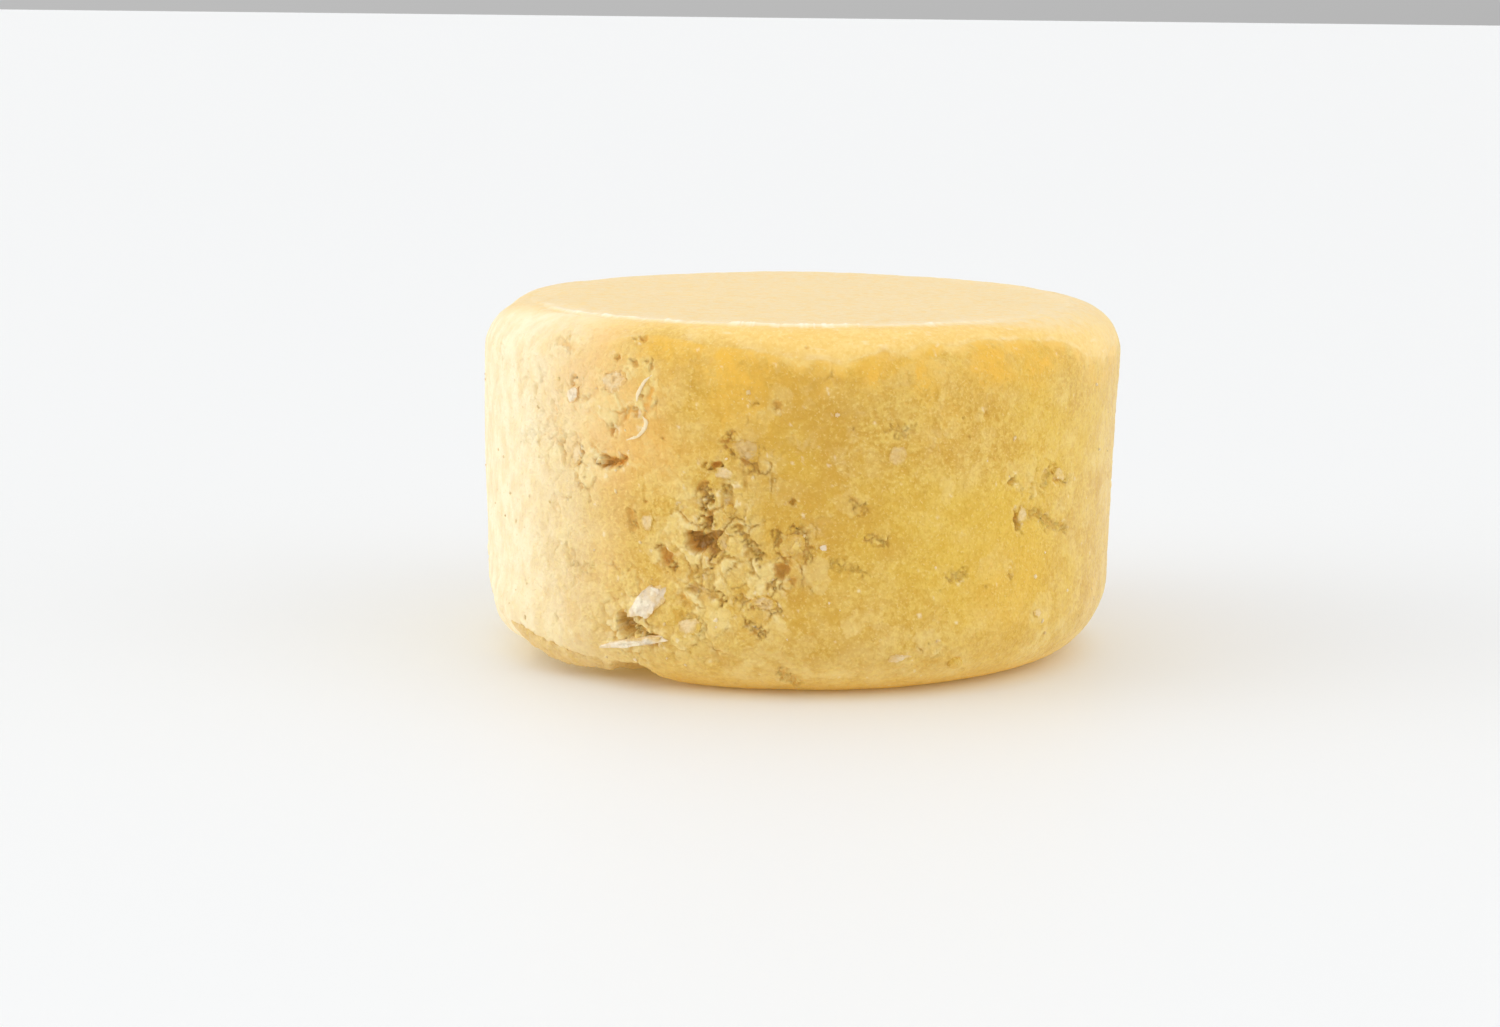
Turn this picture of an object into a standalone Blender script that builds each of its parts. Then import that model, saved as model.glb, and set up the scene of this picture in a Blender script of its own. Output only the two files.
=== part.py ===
"""Shaving soap puck: one pressed, slightly crumbly cake of soap, with the pieces that show in it.

Metres, +Z up. The origin is the middle of the underside, and the front of the puck faces -Y.
A place on the side is given by its bearing (degrees round from the front, towards +X) and its height.
"""

import math
import random

import bmesh
import bpy
from mathutils import Matrix, Vector

# Driving dimensions
DIAMETER = 0.0650
HEIGHT = 0.0354
RIM_ROUND = 0.0050
FOOT_ROUND = 0.0074
FOOT_INSET = 0.00045
SKIN_THICKNESS = 0.0012
SKIN_WRAP = math.radians(58)
GAP = 0.0003
SIDES = 64
ARC_STEPS = 6

TOP_RADIUS = DIAMETER / 2
FOOT_RADIUS = TOP_RADIUS - FOOT_INSET

SOAP_YELLOW = (0.70, 0.46, 0.12)
SKIN_CREAM = (0.83, 0.66, 0.36)
PALE_SOAP = (0.82, 0.68, 0.40)
WHITE_SOAP = (0.86, 0.80, 0.66)
AMBER_SOAP = (0.52, 0.33, 0.13)

# Lumps pressed into the side: name, bearing, height, half width, half height, half depth, turn, colour.
# Bearing and turn are in degrees, heights and sizes in millimetres.
LUMPS = (
    ("white_flake", -26.3, 9.1, 3.0, 1.4, 1.3, 34, WHITE_SOAP),
    ("torn_sliver", -31.6, 4.4, 3.5, 0.8, 1.0, 10, WHITE_SOAP),
    ("upper_left_chip", -41.9, 28.2, 1.5, 1.1, 1.0, 20, WHITE_SOAP),
    ("upper_left_grain", -32.6, 30.0, 1.7, 1.4, 1.1, 0, PALE_SOAP),
    ("slot_flake", -41.4, 22.4, 1.7, 1.3, 1.0, 70, PALE_SOAP),
    ("middle_left_grain", -26.3, 16.9, 1.3, 1.5, 1.0, 0, PALE_SOAP),
    ("lower_left_grain", -18.5, 6.9, 1.4, 1.1, 1.0, 15, PALE_SOAP),
    ("grey_grain", -9.0, 24.4, 1.6, 1.3, 1.1, -20, AMBER_SOAP),
    ("crack_grain", -12.6, 22.0, 1.1, 0.9, 0.9, 0, PALE_SOAP),
    ("overhang_crumb", -11.6, 18.3, 1.2, 0.9, 1.0, 35, SOAP_YELLOW),
    ("cavity_grain", -12.2, 15.4, 1.0, 1.1, 1.3, 0, AMBER_SOAP),
    ("nugget", -0.9, 15.4, 1.6, 1.4, 1.2, 10, SOAP_YELLOW),
    ("lower_front_grain", -5.5, 9.6, 1.5, 1.1, 1.0, -15, PALE_SOAP),
    ("white_speck", 4.4, 15.1, 0.9, 0.8, 0.8, 0, WHITE_SOAP),
    ("round_grain", 16.5, 23.7, 1.3, 1.3, 1.0, 0, AMBER_SOAP),
    ("right_socket_grain", 42.2, 17.3, 1.3, 1.3, 1.0, 25, PALE_SOAP),
    ("right_upper_grain", 52.0, 20.4, 1.7, 1.0, 1.0, -25, PALE_SOAP),
    ("lower_right_chip", 47.0, 7.2, 1.3, 1.0, 1.0, -10, WHITE_SOAP),
    ("foot_crumb", 29.8, 2.8, 1.1, 1.0, 1.0, 0, SOAP_YELLOW),
    ("foot_cluster_crumb", 18.0, 3.9, 1.4, 0.8, 0.9, 5, WHITE_SOAP),
)

# Open pits, cracks and one chip out of the foot: bearing, height, half width, half height, half depth, turn.
PITS = (
    (-15.9, 15.2, 1.9, 1.5, 2.2, 12),
    (-16.4, 18.2, 0.8, 1.2, 1.4, 0),
    (-12.6, 20.0, 1.1, 0.6, 1.2, 0),
    (-15.2, 23.4, 0.9, 0.6, 1.0, 0),
    (-34.5, 22.3, 1.8, 0.7, 1.6, 8),
    (-22.6, 13.7, 0.7, 1.1, 1.2, 0),
    (-3.4, 12.3, 0.8, 1.1, 1.2, 0),
    (-31.2, 6.6, 1.4, 1.0, 1.5, -35),
    (40.2, 20.1, 0.9, 0.6, 1.0, 0),
    (46.2, 15.0, 1.3, 0.5, 1.0, -15),
    (-30.6, 1.4, 3.2, 1.3, 2.6, 0),
)

# Raised beads of soap: (bearing, height) along each of them, thickness and stand-off in millimetres.
PEELED_CURL = ((-25.8, 31.0), (-28.1, 29.1), (-29.1, 27.5), (-27.4, 26.2), (-29.0, 25.0), (-31.6, 24.6))
PEELED_CURL_THICKNESS = 0.8
PEELED_CURL_PROUD = 0.1
EDGE_LIP = ((-62, 4.3), (-57, 3.5), (-52, 2.9), (-47, 2.5), (-42, 2.2), (-39, 2.1))
EDGE_LIP_THICKNESS = 1.4
EDGE_LIP_PROUD = 0.3

LUMP_ROUGHNESS = 0.16
PIT_ROUGHNESS = 0.22
# Share of its half depth that the middle of a lump or a pit lies under the surface
LUMP_SINK = 0.65
PIT_SINK = 0.15
BEAD_END = 0.55  # share of a bead's thickness left at its ends
MM = 0.001


def clear_scene():
    for obj in list(bpy.data.objects):
        bpy.data.objects.remove(obj, do_unlink=True)


def new_collection(name):
    collection = bpy.data.collections.new(name)
    bpy.context.scene.collection.children.link(collection)
    return collection


def soap_material(name, colour, roughness):
    material = bpy.data.materials.new(name)
    material.use_nodes = True
    shader = material.node_tree.nodes["Principled BSDF"]
    shader.inputs["Base Color"].default_value = (*colour, 1.0)
    shader.inputs["Roughness"].default_value = roughness
    shader.inputs["Metallic"].default_value = 0.0
    return material


def arc(centre, radius, start, end, steps=ARC_STEPS):
    """Points (r, z) of an arc; the angle is measured from straight up, towards the outside."""
    return [
        (centre[0] + radius * math.sin(angle), centre[1] + radius * math.cos(angle))
        for angle in (start + (end - start) * i / steps for i in range(steps + 1))
    ]


def side_radius(height):
    """Radius of the puck's plain outer surface at a height."""
    if height < FOOT_ROUND:
        across = math.sqrt(max(FOOT_ROUND**2 - (FOOT_ROUND - height) ** 2, 0.0))
        return FOOT_RADIUS - FOOT_ROUND + across
    rim_start = HEIGHT - RIM_ROUND
    if height > rim_start:
        return TOP_RADIUS - RIM_ROUND + math.sqrt(RIM_ROUND**2 - (height - rim_start) ** 2)
    share = (height - FOOT_ROUND) / (rim_start - FOOT_ROUND)
    return FOOT_RADIUS + (TOP_RADIUS - FOOT_RADIUS) * share


def side_slope(height):
    """Angle of the surface's normal above level: negative under the foot's rounding."""
    step = 0.05 * MM
    change = side_radius(height + step) - side_radius(height - step)
    return math.atan2(-change, 2 * step)


def side_point(bearing, height):
    turn = math.radians(bearing)
    radius = side_radius(height)
    return Vector((radius * math.sin(turn), -radius * math.cos(turn), height))


def side_frame(bearing, height, turn=0.0):
    """Axes on the surface: X along the bearing, Z up the side, Y into the soap; turned about Y."""
    about = Matrix.Rotation(math.radians(bearing), 4, "Z")
    lean = Matrix.Rotation(-side_slope(height), 4, "X")
    return about @ lean @ Matrix.Rotation(-math.radians(turn), 4, "Y")


def turned(name, profile, collection):
    """A solid of revolution from (r, z) points that run down the outside and back up the inside."""
    mesh = bpy.data.meshes.new(name)
    edges = [(i, i + 1) for i in range(len(profile) - 1)]
    mesh.from_pydata([(r, 0.0, z) for r, z in profile], edges, [])
    obj = bpy.data.objects.new(name, mesh)
    collection.objects.link(obj)
    screw = obj.modifiers.new("Turn", "SCREW")
    screw.axis = "Z"
    screw.angle = math.tau
    screw.steps = SIDES
    screw.render_steps = SIDES
    screw.use_merge_vertices = True
    screw.merge_threshold = 0.00001
    screw.use_smooth_shade = True
    return obj


def lump(name, place, size, sink, grow, roughness, seed, collection):
    """An uneven ball: its points move in and out, and it is stretched to its three half sizes."""
    bearing, height, turn = place
    bpy.ops.mesh.primitive_ico_sphere_add(subdivisions=2, radius=1.0)
    obj = bpy.context.object
    obj.name = name
    obj.data.name = name
    for owner in list(obj.users_collection):
        owner.objects.unlink(obj)
    collection.objects.link(obj)
    noise = random.Random(seed)
    half = Vector([side * MM + grow for side in size])
    for vertex in obj.data.vertices:
        push = 1.0 + noise.uniform(-roughness, roughness)
        vertex.co = Vector([c * push * h for c, h in zip(vertex.co, half)])
    frame = side_frame(bearing, height * MM, turn)
    inward = frame.to_3x3() @ Vector((0, 1, 0))
    obj.matrix_world = Matrix.Translation(side_point(bearing, height * MM)) @ frame
    obj.location += inward * size[1] * MM * sink
    return obj


def cut(obj, cutter):
    cutter.hide_render = True
    cutter.display_type = "WIRE"
    boolean = obj.modifiers.new(cutter.name, "BOOLEAN")
    boolean.operation = "DIFFERENCE"
    boolean.solver = "EXACT"
    boolean.object = cutter


def bead_point(bearing, height, proud):
    outward = side_frame(bearing, height).to_3x3() @ Vector((0, -1, 0))
    return side_point(bearing, height) + outward * proud


def bead(name, route, thickness, proud, grow, collection):
    """A raised bead of soap along (bearing, height) points, thinning to its ends, as a mesh."""
    curve = bpy.data.curves.new(name + "_route", "CURVE")
    curve.dimensions = "3D"
    curve.bevel_depth = thickness * MM / 2 + grow
    curve.bevel_resolution = 2
    curve.use_fill_caps = True
    points = [bead_point(bearing, height * MM, proud * MM) for bearing, height in route]
    points[0] += (points[0] - points[1]).normalized() * grow
    points[-1] += (points[-1] - points[-2]).normalized() * grow
    spline = curve.splines.new("POLY")
    spline.points.add(len(points) - 1)
    for i, point in enumerate(points):
        along = i / (len(points) - 1)
        spline.points[i].co = (*point, 1.0)
        spline.points[i].radius = BEAD_END + (1 - BEAD_END) * math.sin(math.pi * along)
    guide = bpy.data.objects.new(name + "_guide", curve)
    collection.objects.link(guide)
    bpy.context.view_layer.update()
    mesh = bpy.data.meshes.new_from_object(guide.evaluated_get(bpy.context.evaluated_depsgraph_get()))
    mesh.name = name
    weld = bmesh.new()
    weld.from_mesh(mesh)
    bmesh.ops.remove_doubles(weld, verts=weld.verts, dist=0.00001)
    bmesh.ops.recalc_face_normals(weld, faces=weld.faces)
    weld.to_mesh(mesh)
    weld.free()
    obj = bpy.data.objects.new(name, mesh)
    obj.matrix_world = guide.matrix_world
    collection.objects.link(obj)
    bpy.data.objects.remove(guide, do_unlink=True)
    return obj


def body_profile():
    """Down the rebate under the skin, down the side, round the foot and in to the middle."""
    rim = (TOP_RADIUS - RIM_ROUND, HEIGHT - RIM_ROUND)
    foot = (FOOT_RADIUS - FOOT_ROUND, FOOT_ROUND)
    under_skin = RIM_ROUND - SKIN_THICKNESS - GAP
    ledge = SKIN_WRAP + GAP / RIM_ROUND
    rebate = arc(rim, under_skin, 0.0, ledge)
    shoulder = arc(rim, RIM_ROUND, ledge, math.pi / 2, 3)
    foot_arc = arc(foot, FOOT_ROUND, math.pi / 2, math.pi)
    return [(0.0, rim[1] + under_skin), *rebate, *shoulder, *foot_arc, (0.0, 0.0)]


def skin_profile():
    """Out over the top and the rim, then back along the underside of the skin."""
    rim = (TOP_RADIUS - RIM_ROUND, HEIGHT - RIM_ROUND)
    outside = arc(rim, RIM_ROUND, 0.0, SKIN_WRAP)
    inside = arc(rim, RIM_ROUND - SKIN_THICKNESS, SKIN_WRAP, 0.0)
    return [(0.0, HEIGHT), *outside, *inside, (0.0, HEIGHT - SKIN_THICKNESS)]


def finish(obj, colour, roughness=0.55):
    obj.data.materials.append(soap_material(obj.name, colour, roughness))


def make_lumps(body, pieces, cutters):
    for seed, (name, bearing, height, wide, tall, deep, turn, colour) in enumerate(LUMPS):
        place = (bearing, height, turn)
        size = (wide, deep, tall)
        finish(lump(name, place, size, LUMP_SINK, 0.0, LUMP_ROUGHNESS, seed, pieces), colour)
        cut(body, lump(name + "_pocket", place, size, LUMP_SINK, GAP, LUMP_ROUGHNESS, seed, cutters))


def make_pits(body, cutters):
    for seed, (bearing, height, wide, tall, deep, turn) in enumerate(PITS, start=len(LUMPS)):
        place = (bearing, height, turn)
        size = (wide, deep, tall)
        cut(body, lump("pit", place, size, PIT_SINK, 0.0, PIT_ROUGHNESS, seed, cutters))


def make_beads(body, pieces, cutters):
    beads = (
        ("peeled_curl", PEELED_CURL, PEELED_CURL_THICKNESS, PEELED_CURL_PROUD, SKIN_CREAM),
        ("edge_lip", EDGE_LIP, EDGE_LIP_THICKNESS, EDGE_LIP_PROUD, PALE_SOAP),
    )
    for name, route, thickness, proud, colour in beads:
        finish(bead(name, route, thickness, proud, 0.0, pieces), colour)
        cut(body, bead(name + "_groove", route, thickness, proud, GAP, cutters))


def main():
    clear_scene()
    pieces = new_collection("shaving_soap_puck")
    cutters = new_collection("cutters")
    body = turned("puck_body", body_profile(), pieces)
    finish(body, SOAP_YELLOW)
    skin = turned("top_skin", skin_profile(), pieces)
    finish(skin, SKIN_CREAM, 0.45)
    make_lumps(body, pieces, cutters)
    make_pits(body, cutters)
    make_beads(body, pieces, cutters)


main()
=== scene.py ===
"""Looks of the shaving soap puck: a pressed, crumbly yellow cake with a smooth pale skin on top.

The cake, its skin, and every grain, flake, curl and lip are rebuilt as fine displaced meshes in the
places of their CAD nodes. Lengths in the tables below are in millimetres, bearings in degrees round
the puck from its front (-Y) towards +X, and heights are above the floor.
"""

import math

import bmesh
import bpy
import numpy as np
from mathutils import Euler, Matrix, Vector


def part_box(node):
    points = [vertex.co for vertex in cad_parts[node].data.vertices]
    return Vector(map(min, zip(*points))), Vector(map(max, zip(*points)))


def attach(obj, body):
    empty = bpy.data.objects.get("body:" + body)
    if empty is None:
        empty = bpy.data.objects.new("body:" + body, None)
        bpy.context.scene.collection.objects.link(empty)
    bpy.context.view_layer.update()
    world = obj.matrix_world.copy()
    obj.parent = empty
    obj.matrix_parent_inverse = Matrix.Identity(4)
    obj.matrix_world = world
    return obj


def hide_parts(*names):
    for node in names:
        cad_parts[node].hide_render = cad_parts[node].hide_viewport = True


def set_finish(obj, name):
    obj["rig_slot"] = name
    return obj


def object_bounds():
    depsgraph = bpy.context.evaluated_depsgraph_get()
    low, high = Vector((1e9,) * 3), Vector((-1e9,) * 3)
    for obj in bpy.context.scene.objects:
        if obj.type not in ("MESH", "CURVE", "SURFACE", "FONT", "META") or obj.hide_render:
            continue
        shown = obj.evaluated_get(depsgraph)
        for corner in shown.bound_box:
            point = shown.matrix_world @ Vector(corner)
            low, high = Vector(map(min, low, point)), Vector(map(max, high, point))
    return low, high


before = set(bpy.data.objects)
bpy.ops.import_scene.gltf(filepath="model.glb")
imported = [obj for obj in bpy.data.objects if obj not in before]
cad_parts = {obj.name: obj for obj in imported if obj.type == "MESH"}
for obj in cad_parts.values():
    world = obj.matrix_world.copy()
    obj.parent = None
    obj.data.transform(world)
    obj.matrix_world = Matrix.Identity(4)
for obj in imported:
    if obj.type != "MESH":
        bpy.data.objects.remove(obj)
CAD_LOW, CAD_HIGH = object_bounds()

MM = 0.001

# The puck's own outline, from the CAD boxes and the roundings that the CAD uses
HEIGHT = CAD_HIGH.z / MM
TOP_RADIUS = CAD_HIGH.x / MM
RIM_ROUND = 5.0
FOOT_ROUND = 7.4
FOOT_RADIUS = TOP_RADIUS - 0.45
SKIN_THICKNESS = 1.2

# Camera and picture
CAMERA_DISTANCE = 0.320
CAMERA_ELEVATION = math.radians(8.88)
CAMERA_ROLL = math.radians(0.75)
LENS = 74.0
SENSOR = 36.0
PUCK_RIGHT_OF_CENTRE = 0.0325  # share of the picture's width
PUCK_ABOVE_CENTRE = 0.0307

# Mesh fineness
BODY_COLUMNS = 1440
BODY_ROWS = 264
SKIN_COLUMNS = 1100
SKIN_ROWS = 210
CRUMB_TRIES = 900

# How far the cake goes on under the skin, and how far the skin's edge tucks into the cake
HIDDEN_UNDER_SKIN = 1.0
SKIN_TUCK = 0.35

# Where the flat of the underside begins, as a share of the foot's last ring
UNDERSIDE_SHARE = 0.88

# Sizes of the pressed grains, of the finer ones that they hold, and the spacing of pits
LARGE_GRAIN = 2.2
SMALL_GRAIN = 0.8
PIT_SPACING = 1.7
PIT_DEPTH = 0.32
SEAM_DEPTH = 0.32

# How deep the cake dips under the skin, and the skin's edge into the cake
CAKE_DIP = 0.45
SKIN_DIP = 0.5

# The rim's crest is torn, and carries a painted highlight, mostly at the front, a little to the left of the
# middle (radians)
FRONT_TURN = 0.2

# How much more torn the crest is there than at the back
CREST_FRONT = 0.25

# Painted highlight: a pale wash on the sides where strong light falls, most on the left under the low window
# and less on the right edge: bearing, full within this many radians, gone beyond this many, strength
PAINTED_SIDE_GLARES = (
    (-92, 0.5, 1.2, 1.0),
    (95, 0.15, 0.9, 0.32),
)

# Pits and cavities in the side:
# bearing, height, half width, half height, depth, turn, raggedness, how much painted shade colours the inside
CAVITIES = (
    (-17.4, 15.2, 1.15, 1.05, 2.4, 0, 0.6, 1.0),
    (-14.4, 15.2, 1.35, 1.15, 1.7, 10, 0.6, 0.8),
    (-15.2, 13.4, 0.45, 0.9, 0.9, -15, 0.6, 0.7),
    (-15.2, 17.5, 0.6, 0.42, 1.6, 0, 0.6, 1.0),
    (-14.8, 18.8, 0.65, 0.42, 0.7, 20, 0.6, 0.6),
    (-12.3, 20.1, 0.9, 0.45, 0.7, 35, 0.5, 0.5),
    (-11.4, 19.4, 0.7, 0.6, 0.5, 0, 0.5, 0.4),
    (-14.0, 22.6, 0.85, 0.45, 1.1, -8, 0.45, 0.6),
    (-33.8, 22.1, 1.55, 0.55, 1.3, 12, 0.45, 1.0),
    (-22.6, 13.6, 0.5, 0.8, 1.1, 25, 0.5, 0.6),
    (-17.7, 10.7, 0.8, 0.5, 0.8, 0, 0.5, 0.35),
    (-14.1, 10.0, 0.5, 0.4, 0.6, -30, 0.6, 0.4),
    (-9.3, 9.9, 0.4, 0.35, 0.5, 0, 0.6, 0.4),
    (-4.2, 9.5, 0.6, 0.3, 0.5, -20, 0.6, 0.35),
    (-7.4, 7.4, 0.5, 0.2, 0.4, -20, 0.7, 0.35),
    (-2.7, 12.8, 0.75, 0.7, 1.2, 45, 0.4, 0.7),
    (-1.2, 19.4, 0.45, 0.42, 0.6, 0, 0.3, 0.35),
    (-30.8, 6.4, 0.95, 1.25, 1.6, 15, 0.5, 0.9),
    (-26.5, 5.7, 1.1, 0.35, 1.0, -35, 0.5, 0.6),
    (-26.0, 28.6, 0.45, 1.9, 0.16, -18, 0.35, 0.6),
    (-33.0, 32.2, 0.4, 0.35, 0.6, 0, 0.6, 0.35),
    (-28.4, 32.0, 0.5, 0.3, 0.5, 0, 0.6, 0.35),
    (-26.3, 31.9, 0.3, 0.25, 0.4, 0, 0.6, 0.35),
    (-41.6, 29.3, 0.45, 0.4, 0.5, 20, 0.5, 0.3),
    (-42.4, 27.7, 0.4, 0.4, 0.5, 0, 0.5, 0.3),
    (-33.0, 25.2, 0.45, 0.6, 0.6, 0, 0.5, 0.4),
    (-39.9, 22.8, 0.28, 0.8, 0.6, 8, 0.6, 0.5),
    (-40.4, 20.4, 0.25, 0.9, 0.5, 10, 0.7, 0.4),
    (-29.3, 34.1, 0.7, 0.3, 0.5, -10, 0.6, 0.35),
    (-7.3, 28.7, 0.35, 0.35, 0.4, 0, 0.5, 0.4),
    (-3.8, 28.4, 0.5, 0.35, 0.5, 0, 0.5, 0.5),
    (39.1, 20.5, 0.75, 0.36, 0.6, -10, 0.45, 0.5),
    (41.1, 16.6, 0.45, 0.75, 0.9, 10, 0.5, 0.5),
    (46.2, 16.8, 1.1, 0.25, 0.6, -18, 0.5, 0.35),
    (51.2, 15.5, 0.7, 0.2, 0.4, -10, 0.6, 0.3),
    (47.4, 20.4, 0.28, 0.5, 0.35, -25, 0.5, 0.4),
    (51.2, 20.3, 0.3, 0.5, 0.35, 20, 0.5, 0.4),
    (55.8, 19.8, 0.5, 0.35, 0.5, 0, 0.5, 0.4),
    (28.3, 12.0, 0.6, 0.35, 0.5, -20, 0.6, 0.35),
    (39.4, 11.9, 0.35, 0.4, 0.4, 0, 0.6, 0.35),
    (-1.1, 1.6, 0.6, 0.3, 0.6, -30, 0.5, 0.5),
    (118, 13.0, 1.3, 0.7, 1.2, 20, 0.55, 0.7),
    (121, 16.5, 0.6, 0.5, 0.8, 0, 0.55, 0.5),
    (168, 21.0, 1.1, 0.8, 1.4, -15, 0.55, 0.8),
    (172, 18.5, 0.5, 1.0, 0.8, 20, 0.55, 0.6),
    (-134, 9.0, 1.2, 0.6, 1.1, -10, 0.55, 0.6),
    (-98, 23.0, 0.5, 0.5, 0.5, 0, 0.5, 0.4),
)

# Cracks: (bearing, height) along each one, width, depth
CRACKS = (
    (((-11.4, 25.6), (-11.8, 24.9), (-11.0, 24.2)), 0.14, 0.4),
    (((-8.9, 23.6), (-8.2, 23.0), (-7.8, 22.4)), 0.16, 0.5),
    (((-16.2, 20.6), (-15.0, 19.6), (-15.6, 18.4), (-15.0, 17.4), (-15.6, 16.4)), 0.2, 0.8),
    (((-10.0, 16.7), (-9.0, 16.0), (-7.5, 15.0), (-6.3, 14.2)), 0.16, 0.5),
    (((-3.5, 16.4), (-3.1, 15.4), (-2.3, 14.6), (-2.6, 13.7)), 0.15, 0.4),
    (((-0.3, 17.0), (1.0, 16.1), (1.7, 15.2), (1.6, 14.2)), 0.14, 0.35),
    (((-3.4, 12.2), (-4.4, 11.4)), 0.16, 0.5),
    (((-23.8, 14.4), (-22.6, 13.6), (-21.9, 12.7)), 0.17, 0.6),
    (((-17.7, 10.9), (-15.6, 11.0), (-14.1, 10.2), (-12.6, 9.8)), 0.18, 0.5),
    (((-9.6, 9.9), (-7.4, 9.5), (-5.0, 9.9), (-3.6, 9.3)), 0.15, 0.4),
    (((-8.8, 7.8), (-7.2, 7.3), (-5.8, 6.9)), 0.14, 0.4),
    (((-31.5, 7.0), (-29.4, 6.2), (-27.0, 5.8), (-25.2, 5.2)), 0.24, 0.9),
    (((-19.6, 8.0), (-17.6, 8.1), (-16.4, 7.2), (-16.9, 6.0)), 0.13, 0.2),
    (((-29.6, 17.6), (-29.0, 16.8), (-29.2, 16.0)), 0.14, 0.3),
    (((-57.8, 23.1), (-54.0, 23.6), (-50.9, 24.4), (-48.0, 25.2)), 0.13, 0.18),
    (((-43.6, 13.2), (-42.8, 11.8), (-40.2, 11.4), (-37.7, 11.6)), 0.14, 0.22),
    (((44.3, 17.2), (48.2, 16.2), (51.2, 15.4), (54.0, 15.0)), 0.14, 0.35),
    (((46.9, 19.8), (48.2, 21.0), (49.6, 21.2), (51.4, 20.2), (54.6, 19.9)), 0.13, 0.28),
    (((15.2, 26.4), (16.6, 26.0), (19.0, 26.3)), 0.12, 0.2),
    (((5.6, 13.4), (7.6, 13.5), (9.8, 13.1), (11.2, 12.6)), 0.12, 0.2),
    (((9.2, 19.2), (10.3, 18.6), (11.0, 18.9)), 0.13, 0.3),
    (((12.2, 15.9), (13.4, 15.4), (14.6, 15.5)), 0.13, 0.3),
    (((27.0, 11.9), (28.3, 11.8), (29.2, 12.4)), 0.13, 0.3),
    (((-2.4, 2.8), (-1.0, 2.0), (0.2, 1.4)), 0.14, 0.3),
    (((114, 14.2), (117, 13.0), (121, 12.4), (123, 10.8)), 0.18, 0.6),
    (((164, 22.4), (168, 20.8), (171, 18.6), (170, 16.0)), 0.2, 0.7),
    (((-138, 9.8), (-134, 8.8), (-130, 9.4)), 0.17, 0.5),
)

# No crack reaches farther than this from its middle point, in mm
CRACK_REACH = 9

# Crumbly stretches of the side: bearing, height, reach, strength
CRUMBLY = (
    (-14, 15, 7.5, 1.0),
    (-9, 22, 5.5, 0.8),
    (-4, 11, 6.5, 0.68),
    (-17, 7, 6.0, 0.66),
    (-29, 7, 6.0, 0.9),
    (-33, 28, 7.0, 0.68),
    (-41, 22, 5.0, 0.7),
    (-43, 24, 12.0, 0.62),
    (-46, 10, 9.0, 0.56),
    (-46, 33, 4.5, 0.55),
    (-66, 31, 4.0, 0.45),
    (-26, 17, 4.5, 0.5),
    (0, 16, 4.0, 0.6),
    (46, 18, 5.5, 0.6),
    (17, 25, 3.5, 0.4),
    (22, 4, 4.5, 0.5),
    (47, 6, 4.0, 0.4),
    (33, 30, 4.5, 0.45),
    (118, 12, 8.0, 0.6),
    (171, 20, 9.0, 0.6),
    (-132, 9, 8.0, 0.6),
    (-98, 24, 5.0, 0.4),
    (-165, 27, 5.0, 0.5),
)

# Slow swells and hollows that skin and cake share: bearing, height, reach, amount
SWELLS = (
    (88, 31.5, 5.0, 0.3),
    (-92, 34.0, 5.5, -0.55),
    (-60, 34.5, 5.0, -0.3),
    (-80, 20.0, 8.0, 0.12),
    (60, 34.5, 4.0, 0.15),
    (75, 4.0, 6.0, -0.15),
    (-68, 4.6, 3.2, 0.85),
    (-59, 4.2, 3.2, 0.8),
    (-51, 3.4, 3.0, 0.7),
    (-44, 2.8, 2.6, 0.5),
)

# Where the foot is broken away: bearing, height of the broken edge above the floor
FOOT_BREAK = (
    (-70.0, 0.0), (-66.0, 0.9), (-62.0, 1.7), (-57.0, 2.0), (-50.0, 1.6), (-44.0, 0.9),
    (-41.0, 0.6), (-39.0, 1.2), (-36.5, 2.1), (-33.0, 2.6), (-30.5, 2.6), (-28.8, 1.9),
    (-27.4, 0.9), (-24.0, 0.3), (-21.0, 0.0),
)

# Stretches with a warmer, peachy tone (above 0) or a greener, lemon one (below 0):
# bearing, height, reach, amount
TINTS = (
    (-38, 30, 7.0, 0.7),
    (-30, 23, 6.0, 0.5),
    (-30, 28, 5.0, 0.45),
    (-44, 16, 7.0, 0.45),
    (-2, 24, 9.0, -0.2),
    (10, 14, 10.0, -0.3),
    (38, 12, 12.0, -0.7),
    (55, 25, 8.0, -0.5),
    (-14, 8, 5.0, -0.3),
    (120, 20, 12.0, 0.5),
    (-150, 15, 12.0, 0.5),
)

# Golden patches, partly the soap's own clear gold and partly painted shade under the skin's lip: bearing,
# height, reach, amount
GOLDEN = (
    (-10.5, 32.8, 3.0, 1.2),
    (-11, 28.5, 4.0, 0.5),
    (12, 31.9, 2.0, 1.0),
    (21, 31.5, 2.0, 0.9),
    (34, 32.3, 2.8, 1.2),
    (45, 32.0, 2.4, 1.0),
    (24, 26.5, 2.5, 0.3),
    (40, 10.0, 5.0, 0.35),
)

# Stretches where the cake is deeper in tone: bearing, height, reach, amount
DEEPER = (
    (-3, 27.0, 7.0, 0.55),
    (2, 20.0, 6.0, 0.4),
    (0, 9.0, 7.0, 0.28),
)

# How far the skin's edge hangs below the top: bearing, drop
SKIN_EDGE = (
    (-180, 2.1), (-160, 3.3), (-141, 1.8), (-118, 2.6), (-96, 2.2), (-80, 3.4),
    (-66, 2.6), (-47, 1.5), (-38, 2.0), (-28, 1.1), (-18, 1.5), (-10, 1.7),
    (-2, 2.5), (3, 2.7), (7, 3.1), (10, 2.6), (14, 1.8), (18, 2.1),
    (23, 1.5), (28, 1.8), (33, 1.2), (43, 1.7), (53, 2.2), (60, 3.8),
    (68, 4.6), (77, 3.6), (92, 2.1), (112, 3.0), (133, 1.9), (155, 2.9),
    (180, 2.1),
)

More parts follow.
